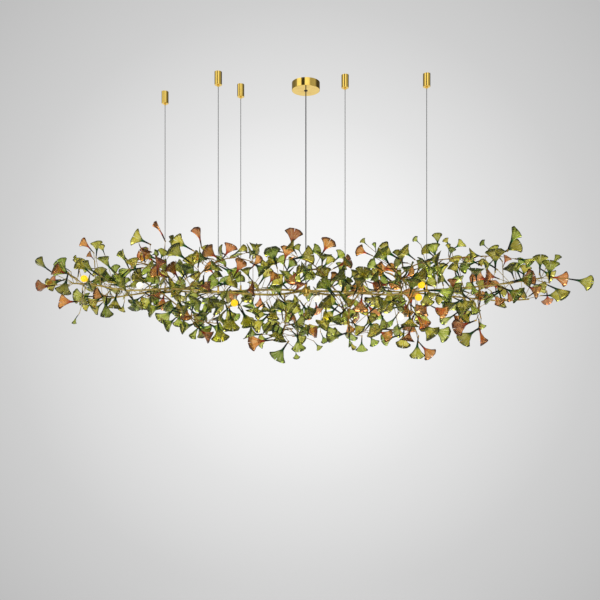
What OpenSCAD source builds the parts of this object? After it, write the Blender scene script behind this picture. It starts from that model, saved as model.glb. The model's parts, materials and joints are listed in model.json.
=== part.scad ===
// Ceiling light: a drift of glass ginkgo leaves on brass stems, hung from five gripper cups.
// Origin at the centre of the canopy's top face, on the ceiling. +X right, +Y back, +Z up.

/* [Canopy] */
// Diameter of the canopy
canopy_d = 100; // [90:1:140]
// Height of the canopy
canopy_h = 28; // [25:1:45]
// Wall of the canopy
canopy_wall = 1.5; // [1:0.1:2.5]
// Chamfer round the canopy's lower edge
canopy_chamfer = 0.8; // [0.3:0.1:1]
// Hole for the cord in the canopy's floor
canopy_hole_d = 10; // [8:0.5:14]
// Thickness of the steel plate on the ceiling
plate_t = 2; // [1.5:0.1:3]
// Depth of the plate's turned-down rim
plate_rim = 8; // [5:0.5:12]
// Distance between the plate's two screw holes
screw_spacing = 60; // [50:1:64]
// Diameter of the screw holes
screw_hole_d = 4.5; // [3.5:0.1:5.5]
// Hole in the plate for the house wires
house_hole_d = 14; // [10:0.5:18]

/* [Suspension] */
// Diameter of a gripper cup
cup_d = 25; // [22:0.5:36]
// Height of a gripper cup
cup_h = 45; // [40:1:70]
// Wall of a gripper cup
cup_wall = 2.4; // [1.8:0.1:3]
// Floor of a gripper cup
cup_floor = 8; // [5:0.5:12]
// Height of the threaded base in a cup
base_h = 6; // [5:0.5:10]
// Shank of the release plunger
plunger_d = 8; // [6:0.5:10]
// Travel of the release plunger
plunger_travel = 3; // [1:0.5:4]
// Part of the plunger that shows below the cup
nozzle_l = 6; // [5:0.5:10]
// Diameter of a suspension wire
wire_d = 2; // [1:0.1:2.5]
// Diameter of the power cord
cord_d = 4; // [3:0.5:6]
// Distance from the ceiling down to the middle of the hub
drop = 745; // [600:5:1500]

/* [Stems] */
// Diameter of an arm at the hub
arm_d = 8; // [6:0.5:9]
// Diameter of an arm at its tip
arm_tip_d = 5; // [4:0.5:6]
// Diameter of a side branch
branch_d = 5; // [4:0.5:5.5]
// Diameter of the wire twig behind a leaf
twig_d = 2; // [1.5:0.1:2.4]
// Length of the ferrule that grips a leaf's stem
ferrule_l = 8; // [6:0.5:10]
// Diameter of the hub
hub_d = 26; // [24:0.5:30]

/* [Leaves] */
// Length of a full leaf's fan, from throat to rim
fan_l = 54; // [48:1:58]
// Angle that the fan takes when rolled flat
fan_angle = 78; // [60:1:84]
// Length of a full leaf's glass stem
leaf_stem_l = 26; // [22:1:28]
// Thickness of the glass stem
leaf_stem_d = 5.4; // [4:0.2:6]
// Thickness of the glass
glass_t = 2; // [1.5:0.1:2.5]
// Width of the slit that parts a fan's two lobes
slit_w = 2; // [1:0.5:4]
// Length of the slit in a full leaf, from the rim in
slit_l = 16; // [8:1:24]
// Number of leaves set between the placed ones
filler_count = 420; // [100:10:440]

/* [Lamps] */
// Diameter of a lamp's globe
globe_d = 24; // [20:0.5:28]
// Diameter of a lamp's plug
plug_d = 4; // [3:0.5:5]
// Length of a lamp's plug
plug_l = 8; // [6:0.5:10]
// Diameter of a lamp socket
socket_d = 11; // [9:0.5:13]
// Length of a lamp socket
socket_l = 12; // [11:0.5:16]

/* [Hidden] */
$fn = 48;

// Clearances: a sliding fit on the radius, a soldered or seated face, a loose cover
fit = 0.1;
seat = 0.15;
loose = 0.3;

// Where the five cups stand on the ceiling, left to right
CUPS = [[-525, 80], [-300, -90], [-235, 15], [135, -65], [415, -75]];
cup_in_r = cup_d / 2 - cup_wall;
wire_top = 20;
plunger_flange_t = 2;
plunger_flange_r = min(plunger_d / 2 + 2, cup_in_r - 1);
nozzle_tip_r = wire_d / 2 + 1.2;
wire_bore_r = wire_d / 2 + 0.2;

// Lug: a ring round the arm with a stud above it that takes the wire's end
lug_ring_w = 7;
lug_wall = 2;
lug_stud_h = 16;
lug_stud_d = wire_d + 4;
lug_bore_h = 9;

// Hub: turned body with a gland above for the cord
hub_low = 20;
hub_high = 14;
gland_h = 12;
gland_d = cord_d + 6;
cord_in = 10;
boss_r = arm_d / 2 + 1;
boss_in = 1.5;
hub_reach = hub_d / 2 + 5;
node_l = 6;
centre = [0, 0, -drop];

// Arms: points below the ceiling, measured from the middle of the hub
RIGHT = [[135, -65, -5], [280, -95, -15], [415, -75, 0], [560, -55, 10], [700, -50, 25], [830, -45, 45]];
FRONT = [[-120, -75, -15], [-300, -90, -5], [-450, -115, 5], [-610, -80, 0], [-740, -55, 20], [-815, -50, 25]];
BACK = [[-115, 45, 5], [-235, 15, 0], [-380, 55, -5], [-525, 80, 0], [-680, 50, -20], [-780, 20, -45]];
REAR = [[110, 60, -15], [290, 95, 0], [500, 70, -15], [690, 30, -35], [800, 0, -30]];
ARMS = [RIGHT, FRONT, BACK, REAR];
// Which arm each wire holds, and which of the arm's points
HELD = [[2, 4], [1, 2], [2, 2], [0, 1], [0, 3]];
// Side branches: the arm, the step along it where the branch leaves, and the points it passes
SIDES = [
    [2, 11, [[-500, 30, 55], [-550, -20, 90], [-625, -45, 105]]],
    [1, 8, [[-365, -75, 55], [-325, -50, 95], [-250, -45, 115], [-170, -45, 95]]],
    [0, 2, [[65, -45, 50], [20, -45, 95], [-40, -45, 120]]],
    [0, 7, [[330, -60, 55], [395, -50, 95], [490, -45, 110], [590, -45, 120], [680, -45, 120]]],
    [1, 10, [[-430, -90, -60], [-390, -60, -100], [-310, -50, -115]]],
    [1, 2, [[-70, -50, -80], [-75, -45, -130], [-90, -45, -170]]],
    [0, 4, [[150, -70, -65], [150, -50, -120], [180, -45, -160]]],
    [0, 8, [[345, -85, -65], [370, -60, -110], [385, -50, -150]]],
    [0, 13, [[600, -50, -40], [612, -48, -100]]]
];
curve_steps = 3;

// Lamps: the arm or branch, the step along it, and which way the lamp points
LAMPS = [
    [1, 15, [-0.5, -0.7, 0.5]],
    [1, 11, [0.1, -1, 0.4]],
    [1, 5, [-0.1, -0.6, -1]],
    [0, 1, [-0.2, -0.8, -0.8]],
    [11, 4, [-1, -0.8, -0.3]],
    [0, 8, [0.5, -0.7, 0.6]],
    [11, 1, [0.5, -1, 0.1]],
    [0, 10, [0, -1, -0.3]]
];
lamp_stub = 12;
neck_l = 4;
neck_r = 4.5;
lamp_reach = lamp_stub + seat + socket_l + seat + neck_l + globe_d + plug_l + 4;

// Placed leaves: fan centre across, up from the hub, way the fan points, size, roll, turn, amber
// The way is in degrees in the front view, roll 25 is a rolled leaf and 60 an open one, and the
// turn swings the fan about its own stem, 0 facing the front and 90 edge on.
PLACED = [
    [-773, 167, 131, 0.7, 45, 30, 1], [-765, 128, 132, 0.45, 50, 20, 1], [-737, 158, 102, 0.5, 40, 0, 0],
    [-712, 154, 92, 0.7, 55, 10, 0], [-782, 109, 100, 0.5, 35, 80, 0], [-807, 83, 180, 0.5, 40, 20, 0],
    [-871, 86, 148, 0.55, 30, 85, 0], [-891, 23, 203, 0.8, 50, 15, 0], [-819, 5, 253, 0.9, 58, 0, 0],
    [-849, -40, 182, 0.9, 50, -20, 1], [-803, -58, 209, 0.5, 45, 10, 0], [-753, -65, 218, 0.7, 50, 0, 0],
    [-802, -105, 237, 0.45, 30, 80, 0], [-681, -72, 265, 0.9, 32, 50, 0], [-641, -65, 250, 0.45, 45, 0, 0],
    [-579, -58, 280, 0.5, 40, 20, 0], [-550, -66, 265, 0.5, 45, -20, 0], [-506, -56, 290, 0.45, 45, 0, 0],
    [-623, 119, 109, 0.8, 28, 60, 0], [-597, 186, 155, 1, 58, 0, 0], [-532, 233, 111, 0.9, 30, 75, 1],
    [-570, 128, 158, 0.9, 55, 10, 0], [-576, 90, 117, 0.75, 45, -20, 0], [-516, 128, 20, 0.45, 40, 0, 0],
    [-476, 177, 82, 0.85, 30, 80, 0], [-476, 84, 96, 0.45, 50, 0, 0], [-441, 167, 150, 0.9, 55, 0, 0],
    [-523, 86, 141, 0.55, 45, 0, 0],
    [-374, 203, 96, 0.85, 34, 40, 1], [-359, 149, 77, 0.8, 35, 60, 0], [-406, 105, 100, 0.9, 50, 10, 0],
    [-332, 131, 145, 0.85, 52, 0, 1], [-259, 142, 58, 0.8, 50, 10, 1], [-170, 107, 41, 0.8, 40, 40, 1],
    [-142, 68, 56, 0.9, 50, 0, 0], [-114, 49, 60, 0.7, 50, 0, 1], [-114, 128, 106, 0.9, 55, 0, 0],
    [-67, 135, 80, 0.8, 50, -20, 1], [-44, 201, 77, 1, 56, 0, 1], [-30, 156, 120, 0.5, 45, 0, 0],
    [5, 117, 15, 1, 58, 0, 0], [74, 158, 60, 0.85, 54, 0, 1], [84, 103, 40, 0.8, 30, 30, 0],
    [65, 61, 110, 0.95, 55, 0, 0], [107, 51, 40, 0.75, 45, 10, 1], [133, 30, 70, 0.85, 50, 0, 0],
    [189, 42, 100, 0.85, 50, 0, 0],
    [193, 142, 157, 0.7, 50, 20, 1], [207, 179, 133, 0.4, 45, 0, 0], [245, 158, 95, 0.5, 30, 75, 0],
    [266, 135, 147, 1, 50, 10, 0], [228, 89, 150, 0.7, 50, 0, 0], [271, 79, 180, 0.85, 45, 0, 1],
    [341, 131, 95, 0.9, 52, 0, 0], [378, 177, 140, 0.4, 45, 0, 0], [446, 180, 85, 0.65, 38, 40, 0],
    [487, 173, 124, 0.4, 45, 0, 0], [518, 159, 90, 0.5, 30, 70, 0], [551, 165, 30, 0.65, 45, 20, 0],
    [425, 140, 110, 0.75, 52, 0, 0], [494, 137, 80, 0.45, 45, 0, 0], [578, 110, 146, 0.7, 48, 0, 0],
    [637, 172, 144, 0.45, 45, 0, 0], [648, 138, 124, 0.7, 50, 10, 0], [705, 190, 66, 1, 60, -35, 0],
    [732, 156, 31, 0.9, 55, 0, 0], [716, 114, 60, 0.55, 45, 0, 1], [774, 105, 60, 0.55, 45, 20, 0],
    [758, 75, 80, 0.65, 50, 0, 0], [824, 82, 80, 0.95, 48, 10, 0], [875, 107, 42, 0.7, 30, 80, 0],
    [879, 56, 330, 0.8, 50, 0, 0], [914, 42, 349, 0.9, 55, 0, 1], [763, 44, 20, 0.9, 50, 0, 1],
    [809, -2, 330, 0.9, 48, 10, 1], [851, 19, 350, 0.55, 45, 0, 0], [774, -16, 300, 0.75, 50, 0, 1],
    [718, -24, 300, 0.6, 45, 0, 1], [653, -37, 300, 0.65, 45, 0, 1], [501, 28, 90, 0.6, 45, 0, 1],
    [-434, -86, 265, 0.9, 35, 50, 1], [-457, -114, 268, 0.7, 50, 0, 0], [-413, -91, 190, 0.45, 45, 0, 1],
    [-383, -143, 225, 0.8, 30, 70, 0], [-298, -156, 280, 1, 58, 0, 0], [-165, -45, 270, 0.6, 50, 0, 1],
    [189, 9, 250, 1, 52, 0, 1], [182, -56, 265, 0.85, 55, 0, 1], [240, 19, 340, 0.6, 45, 0, 1],
    [564, 2, 270, 0.7, 36, 40, 0], [560, -49, 240, 0.6, 45, 0, 0], [562, -96, 220, 0.75, 45, 0, 0],
    [539, -161, 219, 1, 58, 0, 0], [502, -121, 200, 0.95, 50, 0, 1], [623, -173, 270, 1, 28, 85, 1],
    [642, -129, 296, 0.6, 48, 0, 0], [336, -182, 260, 0.85, 52, 0, 0], [373, -212, 265, 0.9, 50, 10, 0],
    [425, -217, 313, 0.85, 52, 0, 1], [415, -131, 275, 0.75, 36, 45, 0], [383, -129, 250, 0.95, 52, 0, 1],
    [277, -154, 333, 0.75, 50, 0, 1], [303, -140, 280, 0.55, 36, 60, 0], [-95, -227, 236, 1, 56, 0, 0],
    [-102, -142, 184, 0.9, 52, 0, 0], [-138, -131, 200, 0.7, 48, 0, 0], [-26, -191, 275, 0.8, 52, 0, 0],
    [-33, -231, 280, 0.4, 45, 0, 0], [46, -201, 309, 0.45, 45, 0, 0], [67, -178, 295, 0.5, 45, 0, 0],
    [84, -140, 300, 0.7, 50, 0, 0], [144, -178, 265, 0.6, 30, 80, 0], [158, -194, 285, 0.6, 36, 60, 0],
    [200, -205, 270, 0.7, 52, 0, 0], [242, -184, 300, 0.6, 45, 0, 0]
];

function unit(v) = v / norm(v);
function clamp(t) = min(max(t, 0), 1);
function square_to(v, axis) = unit(v - axis * (v * axis));
// Distance from a point to a stretch, and between two stretches
function off_line(p, a, b) = let(v = b - a) norm(p - a - v * clamp((p - a) * v / (v * v)));
function off_lines(a, b, c, d) =
    let(u = b - a, v = d - c, w = a - c, uu = u * u, vv = v * v, uv = u * v, vw = v * w, uw = u * w)
    let(den = uu * vv - uv * uv, s = den > 0.001 ? clamp((uv * vw - uw * vv) / den) : 0)
    let(t = clamp((uv * s + vw) / vv), r = clamp((uv * t - uw) / uu))
    norm(a + u * r - c - v * t);

// A smooth curve through points, with a few steps between each two
function curve(p) = [
    for (i = [0 : len(p) - 2]) for (k = [0 : curve_steps - 1])
        let(t = k / curve_steps, a = p[max(i - 1, 0)], b = p[i], c = p[i + 1], d = p[min(i + 2, len(p) - 1)])
        b + t * (c - a) / 2 + t * t * (2 * a - 5 * b + 4 * c - d) / 2
            + t * t * t * (3 * b - a - 3 * c + d) / 2,
    p[len(p) - 1]
];
function along(path, i) = unit(path[min(i + 1, len(path) - 1)] - path[max(i - 1, 0)]);

function from_hub(points) = [for (p = points) centre + p];
// The hub's bosses face the first point of each arm
function boss_way(k) = unit(ARMS[k][0]);
function arm_path(k) = curve(concat([centre + boss_way(k) * (hub_reach + seat)], from_hub(ARMS[k])));
// A side branch starts on the flat end of a short boss brazed to its arm
function side_base(k) = arm_path(SIDES[k][0])[SIDES[k][1]];
function side_way(k) = unit(centre + SIDES[k][2][0] - side_base(k));
function side_path(k) =
    curve(concat([side_base(k) + side_way(k) * (arm_d / 2 + node_l + seat)], from_hub(SIDES[k][2])));
function stems() =
    concat([for (k = [0 : len(ARMS) - 1]) arm_path(k)], [for (k = [0 : len(SIDES) - 1]) side_path(k)]);
function stem_r(k) = (k < len(ARMS) ? arm_d : branch_d) / 2;
function lug_point(k) = centre + ARMS[HELD[k][0]][HELD[k][1] - 1];
function lug_axis(k) = along(arm_path(HELD[k][0]), HELD[k][1] * curve_steps);
function lamp_point(k, paths) = paths[LAMPS[k][0]][LAMPS[k][1]];
function lamp_way(k) = unit(LAMPS[k][2]);

// A leaf: base of its stem, way, width axis, size, roll, amber, foot of its twig, stem number,
// throat, balls that cover the fan, middle and reach of the fan, of twig and stem, and of it all
function fan_point(t, n, w, d, s, roll, r, b) =
    t + s * r * (w * sin(roll) * sin(b) - n * sin(roll) * cos(roll) * (1 - cos(b))
        + d * (sin(roll) * sin(roll) * cos(b) + cos(roll) * cos(roll)));
function leaf(base, d, w, s, roll, amber, foot, stem) =
    let(n = cross(w, d), t = base + d * leaf_stem_l * s, tip = t + d * fan_l * s)
    let(lobe = 0.3 * fan_angle / sin(roll), mid = (t + foot) / 2)
    [base, d, w, s, roll, amber, foot, stem, t,
        [[fan_point(t, n, w, d, s, roll, fan_l * 0.77, lobe), fan_l * 0.37 * s],
        [fan_point(t, n, w, d, s, roll, fan_l * 0.77, -lobe), fan_l * 0.37 * s],
        [t + d * fan_l * 0.72 * s, fan_l * 0.34 * s], [t + d * fan_l * 0.26 * s, fan_l * 0.24 * s]],
        t + d * fan_l * 0.5 * s, fan_l * 0.95 * s, mid, norm(t - mid) + 3 + norm(base - mid) / 4,
        (foot + tip) / 2, norm(foot - tip) / 2 + fan_l * 0.45 * s];

// The gap between two leaves, twigs of one stem being allowed to meet
function hits(a, b) =
    let(fans = norm(a[10] - b[10]) < a[11] + b[11], ab = norm(a[10] - b[12]) < a[11] + b[13])
    let(ba = norm(b[10] - a[12]) < b[11] + a[13], rods = norm(a[12] - b[12]) < a[13] + b[13])
    let(stem_gap = leaf_stem_d / 2 * (a[3] + b[3]) + 1.5, rod_gap = twig_d / 2 + leaf_stem_d / 2 + 1.2)
    (fans && len([for (p = a[9]) for (q = b[9]) if (norm(p[0] - q[0]) < p[1] + q[1]) 1]) > 0)
    || (ab && ball_hits(a[9], b)) || (ba && ball_hits(b[9], a))
    || (rods && (off_lines(grip(a), a[8], grip(b), b[8]) < stem_gap
        || off_lines(grip(a), a[8], b[6], b[0]) < rod_gap || off_lines(grip(b), b[8], a[6], a[0]) < rod_gap
        || (a[7] != b[7] && off_lines(a[6], a[0], b[6], b[0]) < rod_gap)
        || (a[7] == b[7] && near_end(a, b))));
function grip(a) = a[0] - a[1] * ferrule_l;
function near_end(a, b) = off_line(a[0], b[6], b[0]) < rod_end || off_line(b[0], a[6], a[0]) < rod_end;
rod_end = twig_d + leaf_stem_d / 2 + 1;
function ball_hits(balls, b) =
    len([for (p = balls)
        if (off_line(p[0], b[6], b[0]) < p[1] + 2 || off_line(p[0], grip(b), b[8]) < p[1] + 3.5) 1]) > 0;

// What a leaf keeps clear of: stems, wires, cord, lamps and the hub, each a stretch with a radius
function posts(paths) = concat(
    [for (k = [0 : len(CUPS) - 1]) [lug_point(k), [CUPS[k].x, CUPS[k].y, -cup_h], lug_stud_d / 2 + 1]],
    [[centre, [0, 0, -canopy_h], cord_d / 2 + 1.5]],
    [[centre - [0, 0, hub_low], centre + [0, 0, hub_high], hub_reach + 2]],
    [for (k = [0 : len(CUPS) - 1]) let(p = lug_point(k), w = lug_axis(k)) [p - w * 4, p + w * 4, arm_d / 2 + 4]],
    [for (k = [0 : len(LAMPS) - 1]) let(p = lamp_point(k, paths), w = lamp_way(k))
        [p + w * lamp_stub, p + w * (lamp_reach - globe_d / 2), globe_d / 2 + 2]]
);
function near_posts(a, posts) = len([for (p = posts)
    if (off_line(a[10], p[0], p[1]) < a[11] + p[2] && ball_near(a, p)) 1]) > 0
    || len([for (p = posts) if (off_line(a[12], p[0], p[1]) < a[13] + p[2]
        && (off_lines(a[6], a[0], p[0], p[1]) < p[2] + 1.5
            || off_lines(a[0], a[8], p[0], p[1]) < p[2] + 3.5)) 1]) > 0;
function ball_near(a, p) = len([for (q = a[9]) if (off_line(q[0], p[0], p[1]) < q[1] + p[2]) 1]) > 0;
function near_stems(a, spans) = len([for (p = spans) if (abs(a[10].x - p[0].x) < 95
    && ((norm(a[10] - p[0]) < a[11] + 25 && ball_near(a, p))
        || (off_line(p[0], a[0], a[8]) < 45 && off_lines(a[0], a[8], p[0], p[1]) < p[2] + 4)
        || (p[3] != a[7] && off_lines(a[6], a[0], p[0], p[1]) < p[2] + twig_d))) 1]) > 0;
function spans(paths) = [for (k = [0 : len(paths) - 1]) for (i = [0 : len(paths[k]) - 2])
    [paths[k][i], paths[k][i + 1], stem_r(k) + 0.8, k]];
function hits_any(a, near, i = 0) =
    i == len(near) ? false : hits(a, near[i]) ? true : hits_any(a, near, i + 1);
function clear_of(a, placed, spans, posts) =
    !hits_any(a, [for (b = placed) if (norm(a[14] - b[14]) < a[15] + b[15]) b])
    && !near_stems(a, spans) && !near_posts(a, posts);

// A placed leaf takes the nearest foot that suits its way, and the first free depth
function best_foot(base, d, feet) =
    let(costs = [for (f = feet) norm(f[0] - base) - 45 * d * unit(base - f[0] + d)], best = min(costs))
    [for (i = [0 : len(feet) - 1]) if (costs[i] == best) feet[i]][0];
DEPTHS = [0, 35, -35, 70, -70, 105, -105, 140];
function placed_leaf(p, y, tilt, feet) =
    let(d = [cos(p[2]) * cos(tilt), sin(tilt), sin(p[2]) * cos(tilt)], flat = [-sin(p[2]), 0, cos(p[2])])
    let(w = square_to(flat * cos(p[5]) + [0, 1, 0] * sin(p[5]), d))
    let(base = centre + [p[0], y, p[1]] - d * (leaf_stem_l + fan_l * 0.6) * p[3])
    let(f = best_foot(base, d, feet))
    leaf(base, d, w, p[3], p[4], p[6], f[0], f[1]);
function place(i, placed, feet, spans, posts) = i >= len(PLACED) ? placed :
    place(i + 1, concat(placed, at_free_depth(i, 0, placed, feet, spans, posts)), feet, spans, posts);
function at_free_depth(i, k, placed, feet, spans, posts) = k >= len(DEPTHS) ? [] :
    let(a = placed_leaf(PLACED[i], -45 + 60 * sin(i * 77) + DEPTHS[k], 24 * sin(i * 137.5), feet))
    clear_of(a, placed, spans, posts) ? [a] : at_free_depth(i, k + 1, placed, feet, spans, posts);

// The rest grow at chance from the stems until the drift is full
function top_edge(x) = 150 - 50 * pow(abs(x) / 900, 3);
function low_edge(x) = min(-40, -185 + 135 * pow(abs(x - 90) / (x > 90 ? 560 : 720), 3));
function chance_leaf(r, feet) =
    let(f = feet[floor(r[0] * len(feet))], way = unit([r[1] * 2 - 1, (r[2] * 2 - 1) * 0.8, r[3] * 2 - 1]))
    let(s = 0.7 + 0.3 * r[4], base = f[0] + way * (14 + 78 * r[5]))
    let(d = unit(way + 0.5 * [r[6] - 0.5, r[7] - 0.5, r[8] - 0.5]))
    let(flat = square_to(cross([0, 1, 0.02], d), d), side = cross(flat, d), turn = 100 * (r[9] - 0.5))
    let(w = flat * cos(turn) + side * sin(turn), roll = 32 + 2 * floor(15 * r[10]))
    leaf(base, d, w, s, roll, r[11] < 0.14 ? 1 : 0, f[0], f[1]);
function inside(a) = let(x = a[10].x, z = a[10].z + drop)
    z < top_edge(x) && z > low_edge(x) && abs(a[10].y + 20) < 210;
function grow(k, want, placed, feet, spans, posts, dice) =
    want == 0 || (k + 1) * 12 > len(dice) ? placed :
    let(a = chance_leaf([for (i = [0 : 11]) dice[k * 12 + i]], feet))
    let(ok = inside(a) && clear_of(a, placed, spans, posts))
    grow(k + 1, ok ? want - 1 : want, ok ? concat(placed, [a]) : placed, feet, spans, posts, dice);
function all_leaves() =
    let(paths = stems(), s = spans(paths), p = posts(paths))
    let(feet = [for (k = [0 : len(paths) - 1]) for (i = [1 : len(paths[k]) - 1]) for (t = [0.25, 0.75])
        let(q = paths[k][i] * t + paths[k][i - 1] * (1 - t)) if (away(q)) [q, k]])
    let(first = place(0, [], feet, s, p))
    grow(0, filler_count, first, feet, s, p, rands(0, 1, 12 * 4400, 5));
function away(q) =
    min([for (k = [0 : len(CUPS) - 1]) norm(q - lug_point(k))]) > 14 && norm(q - centre) > hub_reach + 8;

module rod(a, b, r, sides) {
    v = b - a;
    translate(a) rotate([0, acos(v.z / norm(v)), atan2(v.y, v.x)]) cylinder(h = norm(v), r = r, $fn = sides);
}

// A bent, tapering bar swept along its path, eight sides at the hub end and at the tip alike
module bar(path, way, r1, r2, sides) {
    n = len(path);
    points = [
        for (i = [0 : n - 1])
            let(t = i == 0 ? way : along(path, i), u = square_to([0, 1, 0.02], t), w = cross(t, u))
            let(r = r1 + (r2 - r1) * i / (n - 1))
            for (k = [0 : sides - 1]) path[i] + r * (u * cos(360 * k / sides) + w * sin(360 * k / sides))
    ];
    low = [for (k = [1 : sides - 2]) [0, k, k + 1]];
    high = [for (k = [1 : sides - 2]) [(n - 1) * sides, (n - 1) * sides + k + 1, (n - 1) * sides + k]];
    walls = [
        for (i = [0 : n - 2]) for (k = [0 : sides - 1])
            let(a = i * sides + k, b = i * sides + (k + 1) % sides)
            for (f = [[a, a + sides, b], [b, a + sides, b + sides]]) f
    ];
    polyhedron(points, concat(low, high, walls));
}

// Twig and ferrule behind one leaf, ending a hair short of its glass
module twig(a) {
    rod(a[6], grip(a) + a[1] * 2, twig_d / 2, 5);
    rod(grip(a), a[0] - a[1] * seat, leaf_stem_d * a[3] / 2, 24);
}

module stem(k, r1, r2) {
    paths = stems();
    color("goldenrod") {
        bar(paths[k], k < len(ARMS) ? boss_way(k) : side_way(k - len(ARMS)), r1, r2, 8);
        for (s = [0 : len(SIDES) - 1]) if (SIDES[s][0] == k)
            rod(side_base(s), side_base(s) + side_way(s) * (arm_d / 2 + node_l), branch_d / 2 + 1, 8);
        for (l = [0 : len(LAMPS) - 1]) if (LAMPS[l][0] == k)
            rod(lamp_point(l, paths), lamp_point(l, paths) + lamp_way(l) * lamp_stub, 2, 8);
        for (a = all_leaves()) if (a[7] == k) twig(a);
    }
}
module arm(k) { stem(k, arm_d / 2, arm_tip_d / 2); }
module branch(k) { stem(k + len(ARMS), branch_d / 2, branch_d / 2 - 1); }

// One glass leaf, standing on its stem: a fan rolled into part of a cone. The larger ones are slit
// from the rim into two lobes, and a full one flares towards its rim.
module glass_leaf(s, roll) {
    half = fan_l / 2 + 1.5;
    flare = s > 0.9 ? 7 : 0;
    start = 4;
    a = start * [sin(roll), cos(roll)];
    b = a + half * [sin(roll - flare), cos(roll - flare)];
    c = b + half * [sin(roll + flare), cos(roll + flare)];
    skin = glass_t * [-cos(roll), sin(roll)];
    turn = fan_angle / sin(roll);
    throat = leaf_stem_l - 3;
    scale(s) difference() {
        union() {
            cylinder(h = leaf_stem_l + 2, d1 = leaf_stem_d * 0.85, d2 = leaf_stem_d);
            translate([0, 0, throat]) rotate([0, -roll, 0]) rotate([0, 0, -turn / 2])
                rotate_extrude(angle = turn)
                    polygon(flare > 0 ? [a, b, c, c + skin, b + skin, a + skin * 0.9]
                        : [a, c, c + skin, a + skin * 0.9]);
        }
        if (s > 0.8)
            translate([-fan_l, -slit_w / 2, leaf_stem_l + fan_l - slit_l]) cube([2 * fan_l, slit_w, 2 * slit_l]);
    }
}
module leaf_set(list, tint) {
    color(tint) for (a = list)
        let(n = cross(a[2], a[1]))
        multmatrix([for (i = [0 : 2]) [n[i], a[2][i], a[1][i], a[0][i]]]) glass_leaf(a[3], a[4]);
}
module green(low, high) {
    leaf_set([for (a = all_leaves()) if (a[5] == 0 && a[7] >= low && a[7] <= high) a], "olivedrab");
}
module amber(low, high) {
    leaf_set([for (a = all_leaves()) if (a[5] == 1 && a[10].x >= low && a[10].x < high) a], "peru");
}

module ceiling_plate() {
    r = canopy_d / 2 - canopy_wall - loose;
    color("silver") difference() {
        rotate_extrude() polygon([
            [0, 0], [r, 0], [r, -plate_rim], [r - plate_t, -plate_rim], [r - plate_t, -plate_t], [0, -plate_t]
        ]);
        for (x = [-1, 1])
            translate([x * screw_spacing / 2, 0, -plate_t - 1]) cylinder(h = plate_t + 2, d = screw_hole_d);
        translate([0, screw_spacing / 3, -plate_t - 1]) cylinder(h = plate_t + 2, d = house_hole_d);
    }
}
block_l = 26;
block_w = 14;
block_h = 11;
module terminal_block() {
    corner = [-block_l / 2, -screw_spacing / 3 - block_w / 2, -plate_t - seat - block_h];
    color("white") translate(corner) difference() {
        cube([block_l, block_w, block_h]);
        for (i = [0 : 2]) translate([block_l * (i + 0.5) / 3, 0, 0]) {
            translate([0, -1, block_h / 2]) rotate([-90, 0, 0]) cylinder(h = block_w + 2, r = 1.6);
            translate([0, block_w / 2, -1]) cylinder(h = block_h / 2 + 1, r = 1.3);
        }
    }
}
clamp_r = 6;
clamp_h = 13;
module cord_clamp() {
    color("white") difference() {
        translate([0, 0, -plate_t - seat - clamp_h]) cylinder(h = clamp_h, r = clamp_r);
        translate([0, 0, -plate_t - seat - clamp_h - 1]) cylinder(h = clamp_h - 2, d = cord_d + 2 * fit);
    }
}
cord_top = -plate_t - seat - clamp_h + 9;
module power_cord() {
    bottom = -drop + hub_high + gland_h - cord_in + seat;
    color("dimgray") translate([0, 0, bottom]) cylinder(h = cord_top - bottom, d = cord_d);
}
module canopy_cover() {
    r = canopy_d / 2;
    c = canopy_chamfer;
    color("gold") difference() {
        rotate_extrude() polygon([
            [0, -canopy_h], [r - c, -canopy_h], [r, -canopy_h + c], [r, -0.2],
            [r - canopy_wall, -0.2], [r - canopy_wall, -canopy_h + canopy_wall], [0, -canopy_h + canopy_wall]
        ]);
        translate([0, 0, -canopy_h - 1]) cylinder(h = canopy_wall + 2, d = canopy_hole_d);
    }
}
module cord_grommet() {
    hole = canopy_hole_d / 2 - fit;
    lip = canopy_hole_d / 2 + 1.5;
    bore = cord_d / 2 + loose;
    low = -canopy_h - seat;
    high = -canopy_h + canopy_wall + seat;
    color("dimgray") rotate_extrude() polygon([
        [bore, low - 1], [lip, low - 1], [lip, low], [hole, low],
        [hole, high], [lip, high], [lip, high + 1], [bore, high + 1]
    ]);
}

module at_cup(k) { translate([CUPS[k].x, CUPS[k].y, 0]) children(); }
module ceiling_base(k) {
    color("silver") at_cup(k) translate([0, 0, -base_h]) difference() {
        cylinder(h = base_h, r = cup_in_r - fit);
        translate([0, 0, -1]) cylinder(h = base_h + 2, d = screw_hole_d);
        translate([0, 0, -0.01]) cylinder(h = screw_hole_d / 2, r1 = screw_hole_d, r2 = screw_hole_d / 2);
    }
}
module gripper_cup(k) {
    c = 1;
    color("gold") at_cup(k) rotate_extrude() polygon([
        [cup_d / 2, 0], [cup_d / 2, c - cup_h], [cup_d / 2 - c, -cup_h], [plunger_d / 2 + fit, -cup_h],
        [plunger_d / 2 + fit, cup_floor - cup_h], [cup_in_r, cup_floor - cup_h], [cup_in_r, 0]
    ]);
}
module release(k) {
    top = cup_floor - cup_h + seat;
    color("gold") at_cup(k) rotate_extrude() polygon([
        [wire_bore_r, top + plunger_flange_t], [plunger_flange_r, top + plunger_flange_t],
        [plunger_flange_r, top], [plunger_d / 2, top], [plunger_d / 2, -cup_h - plunger_travel],
        [nozzle_tip_r, -cup_h - nozzle_l], [wire_bore_r, -cup_h - nozzle_l]
    ]);
}
module wire(k) {
    bottom = lug_point(k).z + arm_d / 2 + fit + lug_stud_h - lug_bore_h + seat;
    color("gray") at_cup(k) translate([0, 0, bottom]) cylinder(h = -wire_top - bottom, d = wire_d);
}
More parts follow.
